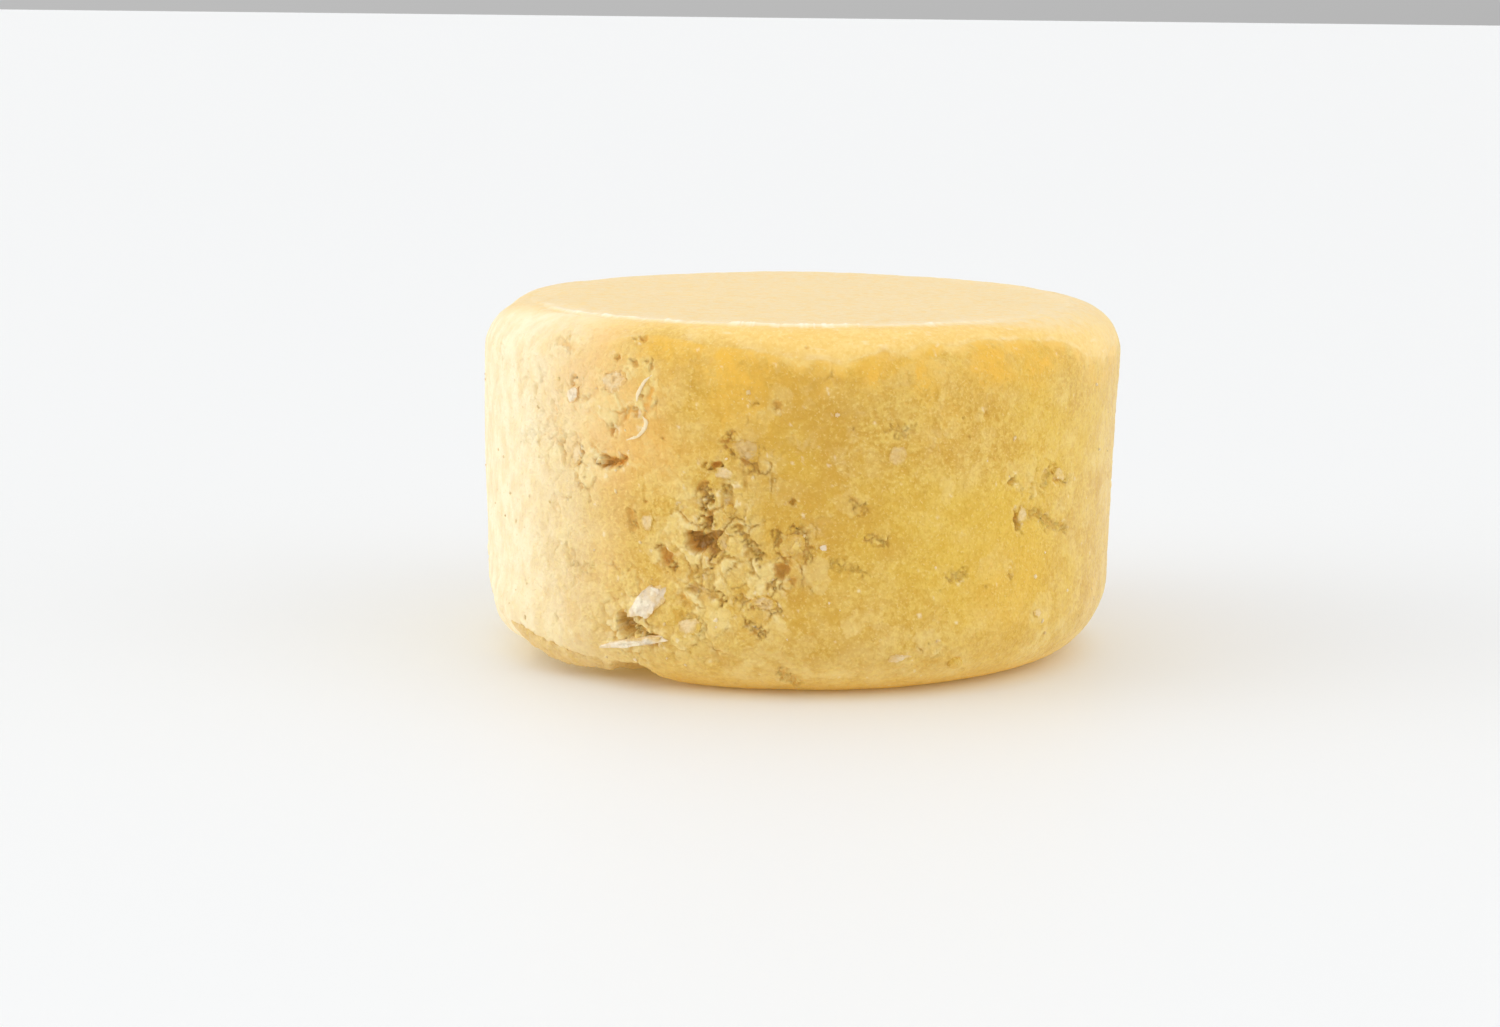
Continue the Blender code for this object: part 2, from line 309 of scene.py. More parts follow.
# How gradually the smooth skin turns into rough cake before its edge: bearing, mm
SKIN_FADE = (
    (-180, 1.0), (-95, 3.8), (-30, 3.8), (-18, 3.0), (-4, 2.0), (4, 1.2),
    (10, 0.9), (55, 0.8), (75, 1.5), (180, 1.0),
)

# What each point of a mesh carries for its material, in the layers masks and tints, and the lowest
# value of each (the highest is 1)
LOOKS = ("hollow_shade", "tone", "pale", "gold", "hue", "white", "painted_side_glare", "skin")
LOWEST_LOOKS = (0, 0, 0, 0, -1, 0, 0, 0)


# ---------------- repeatable noise on arrays of points


def hash01(ix, iy, iz, seed):
    """A repeatable random number from 0 to 1 for each whole-number lattice point."""
    n = (ix * 374761393 + iy * 668265263 + iz * 1440662683 + seed * 1274126177) & 0xFFFFFFFF
    n = ((n ^ (n >> 13)) * 1274126177) & 0xFFFFFFFF
    return ((n ^ (n >> 16)) & 0xFFFFFF) / 0xFFFFFF


def value_noise(points, seed):
    """Smooth noise from -1 to 1 at points given in units of the noise's own grain."""
    cell = np.floor(points).astype(np.int64)
    part = points - cell
    part = part * part * (3 - 2 * part)
    total = np.zeros(points.shape[:-1])
    for dx in (0, 1):
        wx = part[..., 0] if dx else 1 - part[..., 0]
        for dy in (0, 1):
            wy = part[..., 1] if dy else 1 - part[..., 1]
            for dz in (0, 1):
                wz = part[..., 2] if dz else 1 - part[..., 2]
                corner = hash01(cell[..., 0] + dx, cell[..., 1] + dy, cell[..., 2] + dz, seed)
                total += wx * wy * wz * corner
    return total * 2 - 1


def fractal(points, size, seed, octaves=3):
    """Layers of noise, each half as large and half as strong as the one before; about -1 to 1."""
    total = 0.0
    strength = 1.0
    whole = 0.0
    for octave in range(octaves):
        total = total + strength * value_noise(points * (2.03**octave / size), seed + octave)
        whole += strength
        strength *= 0.5
    return total / whole


def cells(points, size, seed):
    """Distances to the nearest and second nearest grain, and the nearest grain's random number."""
    scaled = points / size
    base = np.floor(scaled).astype(np.int64)
    nearest = np.full(points.shape[:-1], 9.0)
    second = np.full(points.shape[:-1], 9.0)
    mark = np.zeros(points.shape[:-1])
    for dx in (-1, 0, 1):
        for dy in (-1, 0, 1):
            for dz in (-1, 0, 1):
                ix = base[..., 0] + dx
                iy = base[..., 1] + dy
                iz = base[..., 2] + dz
                away = np.sqrt(
                    (ix + hash01(ix, iy, iz, seed) - scaled[..., 0]) ** 2
                    + (iy + hash01(ix, iy, iz, seed + 1) - scaled[..., 1]) ** 2
                    + (iz + hash01(ix, iy, iz, seed + 2) - scaled[..., 2]) ** 2
                )
                closer = away < nearest
                second = np.where(closer, nearest, np.minimum(second, away))
                mark = np.where(closer, hash01(ix, iy, iz, seed + 3), mark)
                nearest = np.where(closer, away, nearest)
    return nearest, second, mark


def smooth(low, high, value):
    """0 at low, 1 at high, eased in between; low may be the larger."""
    share = np.clip((value - low) / (high - low), 0, 1)
    return share * share * (3 - 2 * share)


# ---------------- the puck's outline and its surface


def outline(step):
    """Points (radius, height), outward normals and lengths so far, from the middle of the top to the foot."""
    rim = (TOP_RADIUS - RIM_ROUND, HEIGHT - RIM_ROUND)
    foot = (FOOT_RADIUS - FOOT_ROUND, FOOT_ROUND)
    points = []
    for r in np.arange(0, rim[0], step):
        points.append((r, HEIGHT))
    for angle in np.arange(0, math.pi / 2, step / RIM_ROUND):
        points.append((rim[0] + RIM_ROUND * math.sin(angle), rim[1] + RIM_ROUND * math.cos(angle)))
    for z in np.arange(rim[1], foot[1], -step):
        share = (z - foot[1]) / (rim[1] - foot[1])
        points.append((FOOT_RADIUS + (TOP_RADIUS - FOOT_RADIUS) * share, z))
    for angle in np.arange(0, math.pi / 2, step / FOOT_ROUND):
        points.append((foot[0] + FOOT_ROUND * math.cos(angle), foot[1] - FOOT_ROUND * math.sin(angle)))
    points.append((foot[0], 0.0))
    points = np.array(points)
    along = np.gradient(points, axis=0)
    along /= np.linalg.norm(along, axis=1)[:, None]
    normals = np.stack([-along[:, 1], along[:, 0]], 1)
    length = np.concatenate([[0], np.cumsum(np.linalg.norm(np.diff(points, axis=0), axis=1))])
    return points, normals, length


OUTLINE_STEP = 0.02
FINE_POINTS, FINE_NORMALS, FINE_LENGTH = outline(OUTLINE_STEP)
SIDE_START = FINE_LENGTH[np.argmax(FINE_POINTS[:, 0] > TOP_RADIUS - RIM_ROUND)]
FULL_LENGTH = FINE_LENGTH[-1]


def at_length(length):
    """Radius, height and normal of the outline at a distance along it from the middle of the top."""
    values = (FINE_POINTS[:, 0], FINE_POINTS[:, 1], FINE_NORMALS[:, 0], FINE_NORMALS[:, 1])
    return [np.interp(length, FINE_LENGTH, value) for value in values]


def length_at(height):
    """Distance along the outline at which the side has this height."""
    side = FINE_LENGTH >= SIDE_START
    return np.interp(-np.asarray(height, float), -FINE_POINTS[side, 1], FINE_LENGTH[side])


def on_surface(bearing, length):
    """Points and normals of the plain outline, for arrays of bearings (radians) and outline lengths."""
    radius, height, out, up = at_length(length)
    sine, cosine = np.sin(bearing), -np.cos(bearing)
    points = np.stack([radius * sine, radius * cosine, height + 0 * bearing], -1)
    normals = np.stack([out * sine, out * cosine, up + 0 * bearing], -1)
    return points, normals


def turn_between(bearing, centre_degrees):
    """Signed angle in radians from a centre bearing, the short way round."""
    return (bearing - math.radians(centre_degrees) + math.pi) % (2 * math.pi) - math.pi


def local(bearing, length, centre, height):
    """Distances along the surface, in mm across and up, from a place given by bearing and height."""
    place = length_at(height)
    radius = at_length(place)[0]
    return turn_between(bearing, centre) * radius, place - length


def round_puck(bearing, table):
    """Values at bearings in radians, from a table of (degrees, value)."""
    places = np.radians([place for place, _ in table])
    return np.interp(turn_between(bearing, 0), places, [value for _, value in table])


def rim_circle(bearing):
    """Points of a level circle as wide as the puck, for noise that runs along the rim."""
    return np.stack([np.sin(bearing), np.cos(bearing), 0 * bearing], -1) * TOP_RADIUS


def skin_edge(bearing):
    """Outline length at which the skin ends, for each bearing in radians."""
    circle = rim_circle(bearing)
    ragged = 0.26 * fractal(circle, 2.4, 71) + 0.10 * fractal(circle, 0.8, 75)
    return length_at(HEIGHT - np.clip(round_puck(bearing, SKIN_EDGE) + ragged, 0.7, 6.0))


def crumbliness(bearing, length, points):
    """0 where the cake is pressed smooth, 1 where it is loose and crumbly."""
    total = 0.22 + 0.35 * fractal(points, 9.0, 31)
    for centre, height, reach, strength in CRUMBLY:
        across, up = local(bearing, length, centre, height)
        total = np.maximum(total, strength * np.exp(-(across**2 + up**2) / reach**2))
    return np.clip(total, 0, 1)


def blobs(bearing, length, table):
    """The sum of soft round patches, each given by bearing, height, reach and amount."""
    total = 0.0
    for centre, height, reach, amount in table:
        across, up = local(bearing, length, centre, height)
        total = total + amount * np.exp(-(across**2 + up**2) / reach**2)
    return total


def lumpiness(bearing, length, points):
    """The slow unevenness that skin and cake share, in mm."""
    swells = blobs(bearing, length, SWELLS)
    return 0.16 * fractal(points, 13.0, 11) + 0.07 * fractal(points, 4.5, 15) + swells


def hue_of(bearing, length, points):
    """From -1, lemon, to 1, peachy."""
    return np.clip(blobs(bearing, length, TINTS) + 0.7 * fractal(points, 6.0, 141), -1, 1)


def carve_cavities(bearing, length, warps, step):
    """Depth in mm, painted shade and pale broken edges of the listed cavities, cut along the grains.

    warps are three noises that make the walls ragged, and step is from -0.5 to 0.5, one value for each grain.
    """
    warp_x, warp_y, warp_fine = warps
    depth = np.zeros_like(bearing)
    hollow_shade = np.zeros_like(bearing)
    edge = np.zeros_like(bearing)
    for centre, height, wide, tall, deep, turn, rough, tint in CAVITIES:
        across, up = local(bearing, length, centre, height)
        near = (np.abs(across) < 2 * wide + 1.5) & (np.abs(up) < 2 * tall + 1.5)
        x = across[near] + warp_x[near] * rough * 0.7
        y = up[near] + warp_y[near] * rough * 0.7
        c, s = math.cos(math.radians(turn)), math.sin(math.radians(turn))
        far = (np.hypot((c * x + s * y) / wide, (c * y - s * x) / tall) - 1) * min(wide, tall)
        far += rough * (1.3 * step[near] + 0.7 * warp_fine[near])
        floor = 1 + 0.5 * step[near] + 0.4 * warp_fine[near]
        depth[near] = np.maximum(depth[near], deep * smooth(0.05, -0.30, far) * floor)
        shade = tint * smooth(0.05, -0.45, far) * (1 - 0.5 * warp_fine[near])
        hollow_shade[near] = np.maximum(hollow_shade[near], shade)
        edge[near] = np.maximum(edge[near], smooth(0.0, 0.06, far) * smooth(0.40, 0.12, far))
    return depth, hollow_shade, edge


def carve_cracks(bearing, length, warp_x, warp_y, between):
    """Depth in mm of the listed cracks, which open mostly between the grains next to each route.

    between is near 0 on the line between two small grains.
    """
    depth = np.zeros_like(bearing)
    for route, width, deep in CRACKS:
        places = [local(bearing, length, *place) for place in route]
        across, up = places[len(route) // 2]
        near = (np.abs(across) < CRACK_REACH) & (np.abs(up) < CRACK_REACH)
        sway_x, sway_y = warp_x[near] * 0.55, warp_y[near] * 0.55
        gap = np.full(near.sum(), 99.0)
        for first, last in zip(places[:-1], places[1:]):
            ax, ay = first[0][near] + sway_x, first[1][near] + sway_y
            dx, dy = ax - last[0][near] - sway_x, ay - last[1][near] - sway_y
            share = np.clip((ax * dx + ay * dy) / (dx * dx + dy * dy + 1e-9), 0, 1)
            gap = np.minimum(gap, np.hypot(ax - share * dx, ay - share * dy))
        open_width = np.maximum(width * (0.5 + 1.6 * warp_y[near]), 0.02)
        grainy = smooth(0.26, 0.06, between[near]) * smooth(0.75, 0.35, gap)
        opened = np.maximum(grainy, smooth(open_width, open_width * 0.2, gap))
        depth[near] = np.maximum(depth[near], deep * opened)
    return depth


def painted_side_glare_of(bearing):
    """How much painted highlight, a pale wash where strong light falls, the side has at each bearing."""
    total = 0.0
    for centre, full, gone, strength in PAINTED_SIDE_GLARES:
        total = np.maximum(total, strength * smooth(gone, full, np.abs(turn_between(bearing, centre))))
    return total


def gold_shade_and_glow_of(bearing, length, past_skin, points):
    """Golden patches that hang from the skin's edge, partly the soap's own clear gold and partly painted
    shade under the lip, and a painted warm glow along the foot, standing in for light through the soap near
    the floor.
    """
    front = smooth(math.radians(75), math.radians(40), np.abs(turn_between(bearing, 22)))
    patches = smooth(-0.45, 0.35, fractal(points, 2.4, 81) + 0.25 * front - 0.15)
    below = smooth(-0.25, 0.15, past_skin)
    hanging = smooth(4.6, 0.6, past_skin + 1.5 * fractal(points, 2.0, 83)) * patches * (0.25 + 0.50 * front)
    placed = blobs(bearing, length, GOLDEN) * (1.0 + 0.5 * fractal(points, 1.5, 87))
    # the second term is a painted glow: the lowest 2.4 mm of the foot turn gold, standing in for light
    # through the soap near the floor
    return np.maximum(np.maximum(hanging, placed) * below, 0.75 * smooth(2.4, 0.3, points[..., 2]))


def skin_share(bearing, past_skin, points):
    """1 where the smooth skin is whole, 0 where the rough cake shows, as up to the crest on the left."""
    fade = round_puck(bearing, SKIN_FADE)
    return smooth(0.0, fade, -past_skin + (0.2 + 0.15 * fade) * fractal(points, 1.0, 67) + 0.1)


def spilt(past_skin, points):
    """The skin's pale gold, smeared unevenly onto the cake below its edge."""
    strength = 0.4 + 0.45 * smooth(-12, 3, points[..., 0])
    return strength * smooth(1.3, 0.0, past_skin + 1.3 * fractal(points, 1.8, 85))


def cake_relief(bearing, length, carved=True):
    """How far the rough cake stands off its slow swells, in mm, and its looks, one column for each of LOOKS.

    carved is False for the grains that fill the cavities.
    """
    plain, _ = on_surface(bearing, length)
    crumb = crumbliness(bearing, length, plain)
    warp_x = fractal(plain, 0.8, 41)
    warp_y = fractal(plain, 0.8, 45)
    warp_fine = fractal(plain, 0.45, 49)
    warped = plain + 0.45 * np.stack([warp_x, warp_y, warp_fine], -1)
    near, second, mark = cells(warped, LARGE_GRAIN, 101)
    near_small, second_small, mark_small = cells(warped, SMALL_GRAIN, 201)
    near_pit, _, mark_pit = cells(warped, PIT_SPACING, 301)
    between = second_small - near_small
    loose = smooth(0.30, 0.85, crumb + 0.45 * fractal(plain, 2.5, 121))
    seam = smooth(0.13, 0.03, second - near) * loose * smooth(-0.40, 0.10, fractal(plain, 1.4, 131, 2))
    pit_size = 0.09 + 0.16 * ((mark_pit * 7.13) % 1)
    pit = smooth(1.0, 0.5, near_pit / pit_size) * (mark_pit < 0.03 + 0.35 * crumb**2)

    raised = loose * 0.30 * (mark - 0.5)
    raised += (0.02 + 0.12 * loose) * (mark_small - 0.5)
    raised += (0.02 + 0.04 * crumb + 0.03 * loose) * (smooth(0.0, 0.35, between) - 0.7)
    raised += (0.035 + 0.04 * crumb) * fractal(plain, 0.5, 21, 2)

    # painted shade: pits, seams, cavities and cracks are coloured darker and warmer in their hollows
    hollow_shade = np.maximum(0.45 * pit, 0.48 * seam)
    broken = np.zeros_like(raised)
    if carved:
        warps = (warp_x, warp_y, warp_fine)
        cavity, inside, broken = carve_cavities(bearing, length, warps, mark_small - 0.5)
        crack = carve_cracks(bearing, length, warp_x, warp_y, between)
        raised -= np.maximum(np.maximum(cavity, crack), np.maximum(PIT_DEPTH * pit, SEAM_DEPTH * seam))
        hollow_shade = np.maximum(np.maximum(hollow_shade, inside), 0.45 * smooth(0.05, 0.4, crack))
    past_skin = length - skin_edge(bearing)

    # pale grain rims in the loose stretches, partly the soap's crystalline edges and partly a painted
    # highlight where the lumps' edges catch the light
    crystal_rims_and_highlight = smooth(0.05, 0.12, second - near) * smooth(0.28, 0.14, second - near) * loose
    crystal_rims_and_highlight *= smooth(-0.3, 0.3, fractal(plain, 1.2, 151))
    tone = 0.5 + 0.25 * (mark - 0.5) + 0.30 * (mark_small - 0.5) + 0.28 * fractal(plain, 3.5, 61)
    tone -= blobs(bearing, length, DEEPER)
    pale = smooth(0.55, 0.95, mark) * (0.15 + 0.55 * crumb) + 0.30 * broken + 0.35 * fractal(plain, 2.6, 65)
    pale += 0.35 * smooth(10.0, 2.0, plain[..., 2]) + 0.40 * crystal_rims_and_highlight + 0.30 * loose
    fleck = smooth(0.30, 0.12, near_small) * (mark_small > 0.955 - 0.04 * crumb)
    white = np.maximum(np.maximum(0.4 * fleck, 0.14 * crystal_rims_and_highlight), 0.40 * broken * smooth(0.1, 0.5, warp_x))
    # painted highlight: the sides are washed paler where strong light falls on them
    painted_side_glare = painted_side_glare_of(bearing)
    gold = gold_shade_and_glow_of(bearing, length, past_skin, plain) * (1 - painted_side_glare) * (0.92 + 0.6 * (mark_small - 0.5))
    skin = np.maximum(skin_share(bearing, past_skin, plain), spilt(past_skin, plain))
    pale *= 1 - 0.85 * gold
    hollow_shade *= 1 - 0.6 * painted_side_glare
    looks = [hollow_shade, tone, pale, gold, hue_of(bearing, length, plain), white, painted_side_glare, skin]
    return raised, np.stack(looks, -1)


def cake_surface(bearing, length, carved=True):
    """Displaced points of the cake's surface, which dips under the skin, and its looks."""
    plain, normals = on_surface(bearing, length)
    raised, looks = cake_relief(bearing, length, carved)
    past_skin = length - skin_edge(bearing)
    raised += lumpiness(bearing, length, plain) - CAKE_DIP * smooth(-0.15, -0.95, past_skin)
    points = plain + raised[..., None] * normals
    return points, looks


def broken_foot(bearing, length, points):
    """Lifts the foot's surface to the broken edge where a piece of the foot is gone."""
    edge = round_puck(bearing, FOOT_BREAK)
    teeth = 0.35 * fractal(points, 1.1, 161) + 0.15 * fractal(points, 0.4, 163)
    ceiling = (edge + smooth(0, 0.8, edge) * teeth) * smooth(FULL_LENGTH + 0.6, FULL_LENGTH - 0.8, length)
    lifted = points.copy()
    lifted[..., 2] = np.maximum(points[..., 2], ceiling)
    return lifted


def skin_surface(bearing, length, edge):
    """Displaced points of the skin's outer surface, and its looks: one column for each of LOOKS."""
    plain, normals = on_surface(bearing, length)
    inside = edge - length
    circle = rim_circle(bearing)
    streaked = np.stack([plain[..., 0], plain[..., 1], plain[..., 2] * 3.5], -1)
    _, _, mark = cells(plain + 0.5 * fractal(plain, 1.2, 91, 2)[..., None], 2.6, 401)
    near_pit, _, mark_pit = cells(plain, 3.0, 501)
    pit = smooth(1.0, 0.4, near_pit / 0.09) * (mark_pit < 0.12)

    front = smooth(0.35, 0.85, np.cos(bearing + FRONT_TURN))
    from_corner = length - SIDE_START + 0.35 * fractal(circle, 6.0, 93)
    crest = smooth(-1.1, -0.1, from_corner) * smooth(0.5, 0.0, from_corner) * (0.12 + 0.88 * front)
    tearing = fractal(circle + [0, 0, 1], 1.2, 111) + 0.5 * fractal(circle, 14.0, 113)
    torn = smooth(-0.1, 0.45, tearing + CREST_FRONT * front)
    rim = smooth(1.6 - 1.8 * front, 5.0 - 4.2 * front, from_corner)
    flecks = smooth(1.2, 0.2, np.abs(from_corner - 0.2)) * front
    flecks *= smooth(0.05, 0.45, fractal(circle, 0.5, 119))
    # a streaky band on the top just inside the front rim, whitened: partly painted highlight, partly pale
    # streaks
    rim_glint_and_streaks = smooth(-3.6, -0.2, from_corner) * smooth(0.6, 0.0, from_corner) * (0.3 + 0.7 * front)
    rim_glint_and_streaks *= 0.45 + 0.55 * smooth(-0.2, 0.4, fractal(streaked, 0.9, 121))
    groove = smooth(0.0, 0.4, from_corner) * smooth(1.2, 0.5, from_corner)

    raised = crest * (0.02 + 0.14 * torn) - 0.08 * groove
    raised += 0.03 * fractal(streaked, 1.8, 95) + (0.010 + 0.022 * rim) * fractal(streaked, 0.5, 97)
    raised += 0.09 * flecks + 0.04 * (mark - 0.5) * rim - 0.14 * pit + 0.05

    lip = smooth(0.0, 0.15, inside) * smooth(0.75, 0.2, inside) * (1 - painted_side_glare_of(bearing))
    lip *= smooth(-0.2, 0.35, fractal(circle, 1.6, 117))
    lip *= smooth(math.radians(40), math.radians(25), np.abs(turn_between(bearing, 30)))
    tone = 0.5 + 0.35 * (mark - 0.5) + 0.5 * fractal(plain, 5.0, 99)
    # painted highlight along the front rim: the crest, the band just inside it and the flecks are whitened
    # most at the front, partly the skin's own white flecks
    white = 0.40 * flecks + 0.36 * rim_glint_and_streaks + crest * (0.05 + 0.40 * torn)
    white += 0.25 * rim * smooth(0.30, 0.65, fractal(streaked, 1.0, 115)) + 0.30 * lip
    hue = hue_of(bearing, length, plain)
    none = np.zeros_like(hue)
    # the skin's pits get painted shade, and the flat top is painted paler than the rim band, partly the
    # skin's cream colour and partly painted sheen where the top is seen at a grazing angle
    looks = [0.35 * pit, tone, 1 - rim, none, 0.5 * hue, white, rim * painted_side_glare_of(bearing), none + 1]

    cake_raised, cake_looks = cake_relief(bearing, length)
    whole = skin_share(bearing, -inside, plain)
    raised = cake_raised * (1 - whole) + (raised + 0.03 * lip) * whole
    raised += lumpiness(bearing, length, plain) - SKIN_DIP * smooth(0.05, -SKIN_TUCK, inside)
    looks = cake_looks * (1 - whole)[..., None] + np.stack(looks, -1) * whole[..., None]
    return plain + raised[..., None] * normals, looks


# ---------------- meshes from grids and balls


def grid_mesh(name, rings, looks):
    """A tube-like mesh from rings of points (rows, columns, 3) in mm, closed by a point at each end."""
    rows, columns = rings.shape[:2]
    index = np.arange(rows * columns).reshape(rows, columns)
    right = np.roll(index, -1, axis=1)
    quads = np.stack([index[:-1], index[1:], right[1:], right[:-1]], -1).reshape(-1, 4)
    first = rows * columns
    points = np.vstack([rings.reshape(-1, 3), rings[0].mean(0), rings[-1].mean(0)])
    looks = np.vstack([looks.reshape(first, -1), looks[0].mean(0), looks[-1].mean(0)])
    fan_start = np.stack([np.full(columns, first), index[0], right[0]], -1)
    fan_end = np.stack([np.full(columns, first + 1), right[-1], index[-1]], -1)
    return mesh_object(name, points, [quads, fan_start, fan_end], looks)


def mesh_object(name, points, faces, looks):
    """An object from points in mm, arrays of faces, and the looks of each point."""
    mesh = bpy.data.meshes.new(name)
    loops = np.concatenate([part.reshape(-1) for part in faces]).astype(np.int32)
    sizes = np.concatenate([np.full(len(part), part.shape[1]) for part in faces]).astype(np.int32)
    starts = np.concatenate([[0], np.cumsum(sizes)[:-1]]).astype(np.int32)
    mesh.vertices.add(len(points))
    mesh.loops.add(len(loops))
    mesh.polygons.add(len(sizes))
    mesh.vertices.foreach_set("co", (points * MM).astype(np.float32).ravel())
    mesh.loops.foreach_set("vertex_index", loops)
    mesh.polygons.foreach_set("loop_start", starts)
    mesh.polygons.foreach_set("use_smooth", np.ones(len(sizes), bool))
    mesh.update(calc_edges=True)
    mesh.validate()
    looks = np.clip(looks, LOWEST_LOOKS, 1).astype(np.float32)
    for layer_name, columns in (("masks", looks[:, :4]), ("tints", looks[:, 4:])):
        layer = mesh.attributes.new(layer_name, "FLOAT_COLOR", "POINT")
        layer.data.foreach_set("color", columns.ravel())
    obj = bpy.data.objects.new(name, mesh)
    bpy.context.scene.collection.objects.link(obj)
    return obj


def register(piece, slot, node):
    """Puts a piece on the only body, in the place of its CAD node."""
    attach(piece, "root")
    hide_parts(node)
    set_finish(piece, slot)
    return piece


def flat_rings(columns, places):
    """Level rings under the top, each given by its radius and how far it lies below the top."""
    around = np.stack([np.sin(columns), -np.cos(columns), 0 * columns], -1)
    return [around * radius + [0, 0, HEIGHT - down] for radius, down in places]


def make_cake():
    """The pressed cake: the whole side and foot, closed under the skin and across the underside."""
    columns = np.linspace(0, 2 * math.pi, BODY_COLUMNS, endpoint=False)
    start = skin_edge(columns) - HIDDEN_UNDER_SKIN
    share = np.linspace(0, 1, BODY_ROWS)[:, None]
    length = start + share * (FULL_LENGTH - start)
    bearing = np.broadcast_to(columns, length.shape)
    points, looks = cake_surface(bearing, length)
    points = broken_foot(bearing, length, points)
    points[..., 2] = np.maximum(points[..., 2], 0.0)
    under_skin = flat_rings(columns, ((24.0, SKIN_THICKNESS + 0.3), (28.0, SKIN_THICKNESS + 0.6)))
    underside = points[-1] * [UNDERSIDE_SHARE, UNDERSIDE_SHARE, 0.0]
    rings = np.concatenate([under_skin, points, underside[None]])
    looks = np.concatenate([looks[:1], looks[:1], looks, looks[-1:]])
    return grid_mesh("pressed_cake", rings, looks)


def make_skin():
    """The pale skin: over the top and the rim to its uneven edge, then back along its underside."""
    columns = np.linspace(0, 2 * math.pi, SKIN_COLUMNS, endpoint=False)
    edge = skin_edge(columns)
    share = np.linspace(0.004, 1, SKIN_ROWS) ** 0.7
    length = share[:, None] * (edge + SKIN_TUCK)
    bearing = np.broadcast_to(columns, length.shape)
    points, looks = skin_surface(bearing, length, edge)
    underside = flat_rings(columns, ((28.4, 1.5), (24.0, 1.2)))
    rings = np.concatenate([points, underside])
    looks = np.concatenate([looks, looks[-1:], looks[-1:]])
    return grid_mesh("pressed_skin", rings, looks)


def side_axes(bearing, height):
    """Columns across, up and out of the surface, and the surface point in mm, at a bearing in degrees."""
    turn = np.array(math.radians(bearing))
    point, out = on_surface(turn, length_at(height))
    across = np.array([math.cos(turn), math.sin(turn), 0.0])
    return np.stack([across, np.cross(out, across), out], 1), point


def ball(subdivisions):
    """Unit points and triangles of an evenly divided ball."""
    shape = bmesh.new()
    bmesh.ops.create_icosphere(shape, subdivisions=subdivisions, radius=1.0)
    points = np.array([vertex.co for vertex in shape.verts])
    faces = np.array([[vertex.index for vertex in face.verts] for face in shape.faces])
    shape.free()
    return points, faces


def node_place(node):
    """Bearing in degrees and height in mm of the middle of a CAD node."""
    low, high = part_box(node)
    middle = (low + high) / (2 * MM)
    return math.degrees(math.atan2(middle.x, -middle.y)), middle.z


def make_grain(node, piece, wide, tall, deep, turn, rough, facets, proud, seed, slot, tint):
    """A grain or flake pressed into the side: an uneven, chipped ball that the mould has pressed flush.

    facets is how many flat chips it has, and proud is how far it stands out of the cake, in mm.
    """
    unit, faces = ball(5)
    shift = seed * 10.0
    random = np.random.default_rng(seed)
    shaped = unit.copy()
    for _ in range(facets):
        chip = random.normal(size=3) * [1, 1, 0.3]
        chip /= np.linalg.norm(chip)
        over = shaped @ chip - random.uniform(0.62, 0.85)
        shaped -= np.maximum(over, 0)[:, None] * chip
    bumps = 0.9 * fractal(unit + shift, 0.8, seed) + 0.5 * fractal(unit + shift, 0.28, seed + 7)
    shaped = shaped * (1 + rough * bumps)[:, None] * [wide, tall, deep]
    shaped[:, 2] -= deep * GRAIN_SINK
    c, s = math.cos(math.radians(turn)), math.sin(math.radians(turn))
    axes, place = side_axes(*node_place(node))
    points = (shaped @ np.array([[c, s, 0], [-s, c, 0], [0, 0, 1]])) @ axes.T + place
    bearing = np.arctan2(points[:, 0], -points[:, 1])
    height = np.clip(points[:, 2], 0.3, HEIGHT - 0.5)
    surface, looks = cake_surface(bearing, length_at(height), carved=False)
    radius = np.hypot(points[:, 0], points[:, 1])
    relief = 0.03 + 0.5 * max(proud, 0)
    level = np.hypot(surface[:, 0], surface[:, 1]) + proud + relief * fractal(points, 0.8, seed + 3)
    over = np.maximum(radius - level, 0)
    points[:, :2] *= ((radius - over * (0.75 if proud > 0.15 else 1.0)) / radius)[:, None]
    out_from_middle = np.hypot(unit[:, 0], unit[:, 1]) + 0.35 * fractal(points, 0.7, seed + 5)
    inner = smooth(1.0, 0.70 if slot == "soap_white" else 0.50, out_from_middle)
    looks[:, LOOKS.index("hollow_shade")] = 0
    looks[:, LOOKS.index("gold")] = 0
    looks[:, LOOKS.index("pale")] = tint * inner
    looks[:, LOOKS.index("tone")] += 0.3 * fractal(points, 0.8, seed + 9)
    if slot == "soap_white":
        looks[:, LOOKS.index("white")] = tint * inner * smooth(-0.3, 0.5, fractal(points, 0.9, seed + 11))
    obj = mesh_object(piece, points, [faces], looks)
    return register(obj, slot, node)


def smooth_route(route, samples):
    """Bearings and heights along a Catmull-Rom curve through the route's points."""
    places = np.array(route, float)
    ends = np.vstack([2 * places[0] - places[1], places, 2 * places[-1] - places[-2]])
    spans = len(places) - 1
    result = []
    for t in np.linspace(0, spans, samples):
        i = min(int(t), spans - 1)
        p0, p1, p2, p3 = ends[i : i + 4]
        f = t - i
        squared = 2 * p0 - 5 * p1 + 4 * p2 - p3
        cubed = 3 * p1 - p0 - 3 * p2 + p3
        result.append(0.5 * (2 * p1 + (p2 - p0) * f + squared * f**2 + cubed * f**3))
    return np.array(result)


